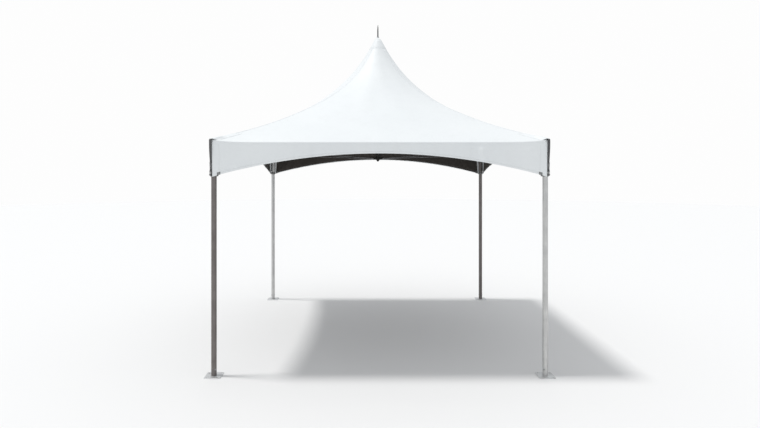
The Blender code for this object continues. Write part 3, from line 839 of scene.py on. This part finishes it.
def anchor_clamp(shape, _):
    """Clamp round the leg with a drilled lug outside and a bolt through two ears inside."""
    middle = LEG_AXIS + UP * ANCHOR_Z
    lathe(shape, turned(BORE_RADIUS, SLEEVE_RADIUS, -0.015, 0.015, 0.0006), moved(middle), 72)
    lathe(shape, turned(LUG_HOLE, 0.0078, 0, 0.006, 0.0006),
          toward(middle + OUT * LUG_REACH - ACROSS * 0.003, ACROSS), 32)
    block(shape, (0.0095, 0.006, 0.0165), moved(middle + OUT * 0.0305) @ turn_z(45))
    for side in (-1, 1):
        ear = middle - OUT * 0.034 + ACROSS * side * 0.0035
        block(shape, (0.016, 0.003, 0.026), moved(ear) @ turn_z(45))
    axis = middle - OUT * 0.036
    for nut, side in enumerate((ACROSS, -ACROSS)):
        bolt(shape, toward(axis + side * 0.005, side), 0.01, nut)
    lathe(shape, turned(0, 0.003, 0, 0.012, 0.0006), toward(axis - ACROSS * 0.006, ACROSS), 20)


def leg_round(shape, _):
    low, high = PLATE_THICKNESS + GAP, EAVE_Z - CORE_LENGTH - GAP
    lathe(shape, turned(TUBE_RADIUS - WALL, TUBE_RADIUS, low, high, 0.0007), moved(LEG_AXIS), 72)


def leg_bolts(shape, _):
    """Bolt through the leg's foot and spigot, and one at its top."""
    foot, top = LEG_AXIS + UP * 0.062, LEG_AXIS + UP * (EAVE_Z - 0.092)
    for nut, side in enumerate((ACROSS, -ACROSS)):
        bolt(shape, toward(foot + side * (TUBE_RADIUS - 0.0004), side), 0.011, nut)
    bolt(shape, toward(top - OUT * (SLEEVE_RADIUS - 0.0004), -OUT), 0.011)


def foot_plate(shape, _):
    """Plate with rounded corners, stake holes and the spigot that the leg slides over."""
    hole_radius, offset, corner_radius = 0.009, 0.055, 0.012
    reach = (PLATE_BOX[1].x - PLATE_BOX[0].x) / 2 - corner_radius
    levels = ((0, 0.0007), (0.0007, 0), (PLATE_THICKNESS - 0.0009, 0), (PLATE_THICKNESS, 0.0009))
    quarters = [(1, 1), (-1, 1), (-1, -1), (1, -1)]

    def arc(x, y, radius, z, first, count):
        turns = [2 * pi * (first + k) / 32 for k in range(count)]
        return verts(shape, [LEG_AXIS + Vector((x + radius * cos(a), y + radius * sin(a), z))
                             for a in turns])

    outline = [[vert for number, (x, y) in enumerate(quarters)
                for vert in arc(x * reach, y * reach, corner_radius - inset, z, 8 * number, 9)]
               for z, inset in levels]
    holes = [[arc(x * offset, y * offset, hole_radius + inset, z, 0, 32) for z, inset in levels]
             for x, y in quarters]
    skin(shape, outline, around=True, flip=True)
    for rings in holes:
        skin(shape, rings, around=True)
    for level in (0, -1):
        edges = []
        for loop in (outline[level], *[rings[level] for rings in holes]):
            for pair in zip(loop, loop[1:] + loop[:1]):
                edges.append(shape.edges.get(pair) or shape.edges.new(pair))
        bmesh.ops.triangle_fill(shape, edges=edges, use_beauty=True)
    radius, low, high = TUBE_RADIUS - WALL - GAP, PLATE_THICKNESS - 0.001, 0.1
    lathe(shape, [(0, low), (radius, low), (radius, high - 0.006), (radius - 0.003, high), (0, high)],
          moved(LEG_AXIS), 48)


def corner_casting(shape, _):
    """Three sleeves with a bead at each mouth, a dome under the cloth and the cable's eye."""
    centre = LEG_AXIS + UP * EAVE_Z
    end = SLEEVE_LENGTH
    bead = SLEEVE_RADIUS + 0.0012
    for axis in (-UP, (1, 0, 0), (0, 1, 0)):
        lathe(shape, [(0, 0), (SLEEVE_RADIUS, 0), (SLEEVE_RADIUS, end - 0.01), (bead, end - 0.007),
                      (bead, end - 0.0012), (SLEEVE_RADIUS + 0.0002, end), (BORE_RADIUS, end),
                      (BORE_RADIUS, CORE_LENGTH), (0, CORE_LENGTH)], toward(centre, axis), 64)
    top, radius = CASTING_BOX[1].z - EAVE_Z, 0.0266
    curve = [pi / 2 * k / 12 for k in range(12)]
    lathe(shape, [(0, 0), (radius, 0),
                  *[(radius * cos(a), top - radius + radius * sin(a)) for a in curve], (0, top)],
          moved(centre), 64)
    eye = centre - OUT * EYE_REACH - UP * EYE_DROP
    lathe(shape, turned(0.006, 0.0149, 0, 0.008, 0.0009), toward(eye + ACROSS * 0.004, -ACROSS), 40)
    web_start, web_end = 0.018, EYE_REACH - 0.0095
    web = centre - OUT * (web_start + web_end) / 2 - UP * EYE_DROP
    block(shape, (web_end - web_start, 0.0075, 0.027), moved(web) @ turn_z(45), 0.0012)


def casting_bolts(shape, _):
    """Set screws under both eave sleeves."""
    low = LEG_AXIS + UP * (EAVE_Z - SLEEVE_RADIUS + 0.0004)
    for x, y in ((0.06, 0), (0.096, 0), (0, 0.06), (0, 0.096)):
        bolt(shape, toward(low + Vector((x, y, 0)), -UP), 0.009)


def eave_rail(shape, _):
    reach = HALF - CORE_LENGTH - GAP
    lathe(shape, turned(TUBE_RADIUS - WALL, TUBE_RADIUS, -reach, reach, 0.0007),
          toward((0, -HALF, EAVE_Z), (1, 0, 0)), 72)


def cable_place():
    """Matrix from the front left eye, +Z along the cable and +X level, and the cable's length."""
    eye = LEG_AXIS + UP * (EAVE_Z - EYE_DROP) - OUT * EYE_REACH
    boss = UP * BOSS_Z + OUT * BOSS_REACH
    run = (boss - eye).normalized()
    turn = Matrix((-ACROSS, run.cross(-ACROSS), run)).transposed().to_4x4()
    return moved(eye) @ turn, (boss - eye).length


def jaw_turnbuckle(shape, _):
    """Jaw with its pin and split ring, screw, lock nut and a drilled pipe body."""
    place, _ = cable_place()
    sideways = Matrix.Rotation(pi / 2, 4, "Y")
    for side in (-1, 1):
        ear = place @ moved((side * 0.0062, 0, 0))
        lathe(shape, [(0.0056, -0.00165), (0.0085, -0.00165), (0.009, -0.0011), (0.009, 0.0011),
                      (0.0085, 0.00165), (0.0056, 0.00165)], ear @ sideways, 36)
        block(shape, (0.0033, 0.0176, 0.0225), ear @ moved((0, 0, 0.0175)))
    lathe(shape, [(0, 0.022), (0.0085, 0.022), (0.0092, 0.0235), (0.0092, 0.033), (0.0072, 0.037),
                  (0, 0.037)], place, 36)
    lathe(shape, [(0, -0.0112), (0.0078, -0.0112), (0.0082, -0.0108), (0.0082, -0.0086), (0.0078, -0.0082),
                  (0.0054, -0.0082), (0.0054, 0.0125), (0.0046, 0.0135), (0, 0.0135)],
          place @ sideways, 32)
    loop = [place @ Vector((0.0112 + 0.0002 * k, point.x, point.y))
            for k, point in enumerate(circle(0.0075, 20))]
    wire_along(shape, loop, 0.0007, 8, closed=True)
    thread(shape, place, 0.005, 0.035, 0.058, 0.0015)
    hexagon(shape, place, 0.0155, 0.0485, 0.0535)
    lathe(shape, [(0, 0.055), (0.0098, 0.055), (0.0105, 0.0565), (0.0105, 0.07), (0.0096, 0.0725),
                  (0.0096, 0.1875), (0.0105, 0.19), (0.0105, 0.2035), (0.0098, 0.205), (0.0064, 0.205),
                  (0.0064, 0.185), (0, 0.185)], place, 40)
    for z in (0.0632, 0.197):
        for side in (-1, 1):
            drilled = place @ moved((side * 0.01, 0, z)) @ Matrix.Rotation(side * pi / 2, 4, "Y")
            lathe(shape, [(0.0021, 0), (0.0034, 0), (0.0031, 0.0006), (0.0023, 0.0006)], drilled, 20)


def stranded_cable(shape, _):
    """Wire rope of six strands with a pressed ferrule at each end."""
    place, reach = cable_place()
    for low, high in ((ROPE_START - 0.0247, ROPE_START + 0.03), (reach - 0.03, reach + 0.0247)):
        profile = [(0, low), (0.0058, low), (0.0062, low + 0.0005)]
        for k in range(26):
            profile.append((0.0062 if k % 4 < 3 else 0.0056, low + 0.002 * (k + 1)))
        profile += [(0.0058, high), (0.0042, high + 0.001), (0, high + 0.001)]
        lathe(shape, profile, place, 28)
    low, high = ROPE_START + 0.028, reach - 0.028
    pitch, steps_a_turn = 0.03, 9
    steps = int((high - low) / pitch * steps_a_turn)
    for strand in range(6):
        path = []
        for k in range(steps + 1):
            z = low + (high - low) * k / steps
            a = 2 * pi * (z / pitch + strand / 6)
            path.append(place @ Vector((0.00262 * cos(a), 0.00262 * sin(a), z)))
        wire_along(shape, path, 0.00136, 6)


def mast_hub_turned(shape, _):
    """Hub with four bosses for the cables, set screws and a nut on its bottom stud."""
    low, high = HUB_BOX[0].z, HUB_BOX[1].z
    floor, mast_floor = HUB_FLOOR - WALL, MAST_BOX[0].z - GAP
    lathe(shape, [(0, floor), (0.024, floor), (0.03, HUB_FLOOR + 0.004), (0.03, high - 0.0035),
                  (0.0275, high), (0.0213, high), (0.0213, mast_floor), (0, mast_floor)], sides=72)
    lathe(shape, [(0, low), (0.0075, low), (0.0085, low + 0.001), (0.0085, HUB_FLOOR), (0, HUB_FLOOR)],
          sides=32)
    hexagon(shape, UPRIGHT, 0.024, HUB_FLOOR - 0.0145, HUB_FLOOR - 0.0045)
    under = HUB_FLOOR - 0.0047
    lathe(shape, [(0, under), (0.0165, under), (0.0165, floor), (0, floor)], sides=40)
    place, reach = cable_place()
    for degrees in CORNERS.values():
        side = turn_z(degrees)
        lathe(shape, [(0.0065, reach), (0.011, reach), (0.012, reach + 0.0012), (0.012, reach + 0.0555),
                      (0, reach + 0.0555), (0, reach + 0.026), (0.0065, reach + 0.026)], side @ place, 40)
        bolt(shape, toward(side @ Vector((0.0298, 0, high - 0.016)), side @ Vector((1, 0, 0))), 0.008)


def mast_tube_round(shape, _):
    lathe(shape, turned(MAST_RADIUS - WALL, MAST_RADIUS, MAST_BOX[0].z, MAST_BOX[1].z, 0.0006), sides=72)


def mast_cap_turned(shape, _):
    """Plug in the mast's top with a flared head under the cloth and four bolts."""
    high = MAST_BOX[1].z
    shoulder = high + GAP
    side = []
    for k in range(13):
        s = 0.998 - 0.024 * k / 12
        half_width, z = roof_line(s)
        above = roof_line(s + 0.001)
        steep = atan2(above[1] - z, half_width - above[0])
        side.append((half_width - CAP_CLOTH * sin(steep), z - CAP_CLOTH * cos(steep)))
    plug, rim = MAST_RADIUS - WALL - GAP, side[-1][0]
    lathe(shape, [(0, side[0][1]), *side, (rim - 0.0008, shoulder), (plug, shoulder), (plug, high - 0.06),
                  (0, high - 0.06)], sides=72)
    for degrees in (20, 110, 200, 290):
        bolt(shape, turn_z(degrees) @ toward((rim * 0.62, 0, shoulder), -UP), 0.007)


def spire_turned(shape, _):
    """Rod with a groove near its top and a drawn point."""
    tip, base, thick = SPIRE_BOX[1].z, SPIRE_BOX[0].z, (SPIRE_BOX[1].x - SPIRE_BOX[0].x) / 2
    lathe(shape, [(0, base), (thick, base), (thick, tip - 0.066), (thick - 0.0008, tip - 0.064),
                  (thick - 0.0008, tip - 0.058), (thick * 0.95, tip - 0.055), (thick * 0.72, tip - 0.03),
                  (thick * 0.42, tip - 0.01), (thick * 0.22, tip - 0.002), (0, tip)], sides=40)


def peak_boot_moulded(shape, _):
    """Moulded boot that closes the peak round the spire."""
    seat = roof_line(1)[1] + GAP
    profile = [(0.0074, seat), (PEAK_HALF_WIDTH - 0.0002, seat), (PEAK_HALF_WIDTH + 0.0002, seat + 0.0006)]
    for k in range(1, 15):
        share = k / 14
        profile.append((0.0105 + (PEAK_HALF_WIDTH - 0.0105) * (1 - share) ** 1.7,
                        seat + 0.0006 + 0.0234 * share ** 0.95))
    profile += [(0.0105, seat + 0.034), (0.0098, seat + 0.0345), (0.0074, seat + 0.0345)]
    lathe(shape, profile)


def boot_clamp(shape, _):
    """Worm clamp round the boot's neck."""
    seat = roof_line(1)[1] + GAP
    middle = seat + 0.0287
    lathe(shape, [(0.0106, seat + 0.0255), (0.0113, seat + 0.0255), (0.0113, seat + 0.032),
                  (0.0106, seat + 0.032)], sides=48)
    block(shape, (0.011, 0.0045, 0.0075), moved((0.004, 0.0135, middle)), 0.0007)
    thread(shape, toward((-0.005, 0.0138, middle), (1, 0, 0)), 0.0023, 0, 0.019, 0.0012)
    hexagon(shape, toward((0.0095, 0.0138, middle), (1, 0, 0)), 0.0055, 0, 0.004)


# Studio, camera and the whole tent


def studio():
    bpy.ops.mesh.primitive_circle_add(vertices=96, radius=30, fill_type="NGON")
    floor = bpy.context.object
    floor.name = "studio_floor"
    tree = Tree("studio floor")
    paint, = tree.finish((0.825, 0.825, 0.825, 1), tree.span(tree.noise(3), 0.7, 0.8))
    floor.data.materials.append(paint)

    world = bpy.data.worlds.new("studio")
    world.use_nodes = True
    nodes, links = world.node_tree.nodes, world.node_tree.links
    light = nodes["Background"]
    light.inputs["Color"].default_value = (0.96, 0.98, 1.0, 1)
    light.inputs["Strength"].default_value = 0.72
    wall = nodes.new("ShaderNodeBackground")
    wall.inputs["Color"].default_value = (0.985, 0.985, 0.985, 1)
    rays, mixed = nodes.new("ShaderNodeLightPath"), nodes.new("ShaderNodeMixShader")
    links.new(rays.outputs["Is Camera Ray"], mixed.inputs["Fac"])
    links.new(light.outputs["Background"], mixed.inputs[1])
    links.new(wall.outputs["Background"], mixed.inputs[2])
    links.new(mixed.outputs["Shader"], nodes["World Output"].inputs["Surface"])
    bpy.context.scene.world = world
    bpy.context.scene.view_settings.view_transform = "Standard"

    key = bpy.data.lights.new("key", "SUN")
    key.energy = 1.72
    key.angle = radians(8)
    key.color = (1.0, 0.99, 0.975)
    lamp = link_object("key", key)
    lamp.rotation_euler = Vector((0.35, -0.02, -0.94)).to_track_quat("-Z", "Y").to_euler()


def camera():
    lens = bpy.data.cameras.new("camera")
    lens.lens = LENS_MM
    lens.sensor_width = SENSOR_MM
    lens.shift_x, lens.shift_y = SHIFT
    view = link_object("camera", lens)
    view.location = CAMERA_PLACE
    view.rotation_euler = (pi / 2, 0, 0)
    bpy.context.scene.camera = view


def canopy_with_trim(white, dark, thread_paint, tab_cloth, steel):
    sheet, = pieces(MIDDLE, canopy, white + dark + white + white, FABRIC, 60, None, CLOTH, -1)
    # The sheet's inner side takes slot 1, the dark of painted shade.
    sheet.modifiers["cloth"].material_offset = 1
    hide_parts(*[f"{part}_{side}" for side in SIDES for part in ("roof_panel", "valance")])
    trim = pieces(dict.fromkeys(CORNERS, 0), hip_seam, white, FABRIC, 70, cloth=0.0004)
    trim += pieces(MIDDLE, peak_collar, white, FABRIC, 60, cloth=0.0004)
    for side, degrees in SIDES.items():
        for at_the_side in (
                (end_patches, white, FABRIC, 60, None, 0.0006, 0),
                (eave_seam, white, FABRIC, 70, None, 0.0005),
                (hem_thread, thread_paint, FABRIC, 60),
                (corner_tabs, tab_cloth, WEBBING, 60, None, 0.001),
                (eyelets, steel, STEEL, 60)):
            trim += pieces({side: degrees}, *at_the_side)
    trim += pieces(CORNERS, hip_patch, white, FABRIC, 60, cloth=0.0008)
    trim += pieces(CORNERS, hip_lining, dark, FABRIC, 60, cloth=0.0008)


def main():
    # dark is the inner side's painted shade.
    white, dark, thread_paint = cloth_outside(), shaded_inner_cloth(), sewing_thread()
    # Lit and shaded copies of one aluminium: the darker copy is painted shade on the front left and back
    # right legs, the lighter copy painted light on the other legs and the mast.
    lit_tube_copy = tube_metal("aluminium tube, lit copy", (0.45, 0.45, 0.45), (0.68, 0.68, 0.67), 0.42)
    shaded_tube_copy = tube_metal("aluminium tube, shaded copy", (0.155, 0.14, 0.135), (0.262, 0.243, 0.236), 0.5)
    # The eave tubes are near black: painted shade for aluminium tubes sitting in the roof's shade.
    shaded_rail_x, shaded_rail_y = [
        tube_metal(f"eave tube in painted shade, along {axis}", (0.04, 0.036, 0.033), (0.085, 0.077, 0.07), 0.5, stretch)
        for axis, stretch in (("x", (0.03, 1, 1)), ("y", (1, 0.03, 1)))]
    spire_paint = tube_metal("dark anodised tube", (0.04, 0.04, 0.042), (0.072, 0.072, 0.075), 0.45)
    steel = galvanised("galvanised steel", (0.33, 0.34, 0.35), (0.44, 0.45, 0.46))
    zinc = galvanised("bright zinc", (0.62, 0.63, 0.635), (0.74, 0.75, 0.755))
    # Painted shade: the strap's ring and the anchor clamp, at the leg's top under the valance's corner, are
    # darker steel for the shade there.
    dull = galvanised("clamp steel, painted shade", (0.17, 0.17, 0.172), (0.25, 0.25, 0.252))
    # Painted shade: the hub is near black for the shade it sits in under the roof.
    black = galvanised("hub steel, painted shade", (0.035, 0.034, 0.033), (0.055, 0.053, 0.051))
    # The strap is black webbing; its very dark colour also stands in for the shade in the slit at each
    # corner, so part of it is painted shade.
    strap = webbing("black webbing, painted corner shade", (0.016, 0.016, 0.018), (0.042, 0.042, 0.046))
    tab_cloth = webbing("grey webbing", (0.19, 0.195, 0.19), (0.29, 0.295, 0.29))
    cast, rope = cast_metal(), wire()

    def leg_paint(corner):
        # Painted shade on the front left and back right legs, painted light on the others.
        return shaded_tube_copy if corner in ("front_left", "back_right") else lit_tube_copy

    def rail_paint(side):
        return shaded_rail_x if side in ("front", "back") else shaded_rail_y

    canopy_with_trim(white, dark, thread_paint, tab_cloth, steel)
    for at_each_corner in (
            (corner_strap_sewn, strap, WEBBING, 50, "corner_strap"),
            (strap_thread, thread_paint, WEBBING, 40),
            (strap_ring, dull, STEEL, 60),
            (anchor_clamp, dull, STEEL, 35, "strap_anchor"),
            (leg_round, leg_paint, TUBE, 40, "leg"),
            (leg_bolts, steel, STEEL, 35),
            (foot_plate, zinc, STEEL, 35, "base_plate"),
            (corner_casting, cast, "cast_fitting", 35, "corner_fitting"),
            (casting_bolts, steel, STEEL, 35),
            (jaw_turnbuckle, steel, STEEL, 35, "turnbuckle"),
            (stranded_cable, rope, "wire_rope", 60, "cross_cable")):
        pieces(CORNERS, *at_each_corner)
    for at_the_mast in (
            (mast_tube_round, lit_tube_copy, TUBE, 40, "mast_tube"),
            (mast_hub_turned, black, STEEL, 35, "mast_hub"),
            (mast_cap_turned, cast, "cast_fitting", 35, "mast_cap"),
            (spire_turned, spire_paint, TUBE, 30, "spire"),
            (peak_boot_moulded, white, FABRIC, 50, "peak_boot"),
            (boot_clamp, spire_paint, STEEL, 30)):
        pieces(MIDDLE, *at_the_mast)
    pieces(SIDES, eave_rail, rail_paint, TUBE, 40, "eave_tube")

    studio()
    camera()


main()
